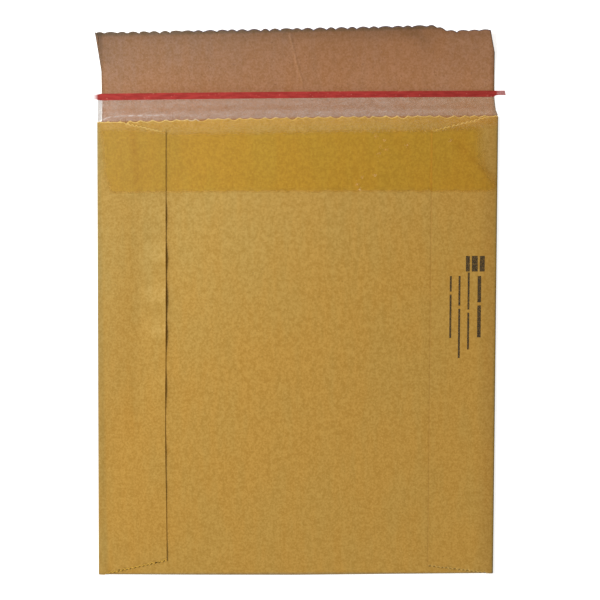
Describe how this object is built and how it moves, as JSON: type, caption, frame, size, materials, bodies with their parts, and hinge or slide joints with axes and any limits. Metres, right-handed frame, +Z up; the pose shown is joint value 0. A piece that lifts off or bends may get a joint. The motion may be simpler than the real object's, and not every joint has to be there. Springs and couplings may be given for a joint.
{
  "type": "rigid mailer",
  "caption": "Flat mailer of solid kraft board with glued side flaps, an open closure flap and a self-seal band under a clear film with a red pull strip.",
  "frame": {"origin": "middle of the address panel's outer face, on the surface the mailer lies on", "axes": "+X to the right as the seam side is seen, +Y towards the mouth and the closure flap, +Z up out of the seam side"},
  "size_m": [0.2492, 0.3322, 0.0108],
  "materials": {
    "kraft_board": "matt unbleached kraft board",
    "adhesive": "clear tacky adhesive, glossy",
    "clear_film": "clear release film with a soft haze",
    "red_strip": "red translucent plastic strip"
  },
  "bodies": {
    "root": {"kraft_blank": "kraft_board", "adhesive_band": "adhesive", "release_film": "clear_film", "pull_strip": "red_strip"}
  },
  "joints": []
}
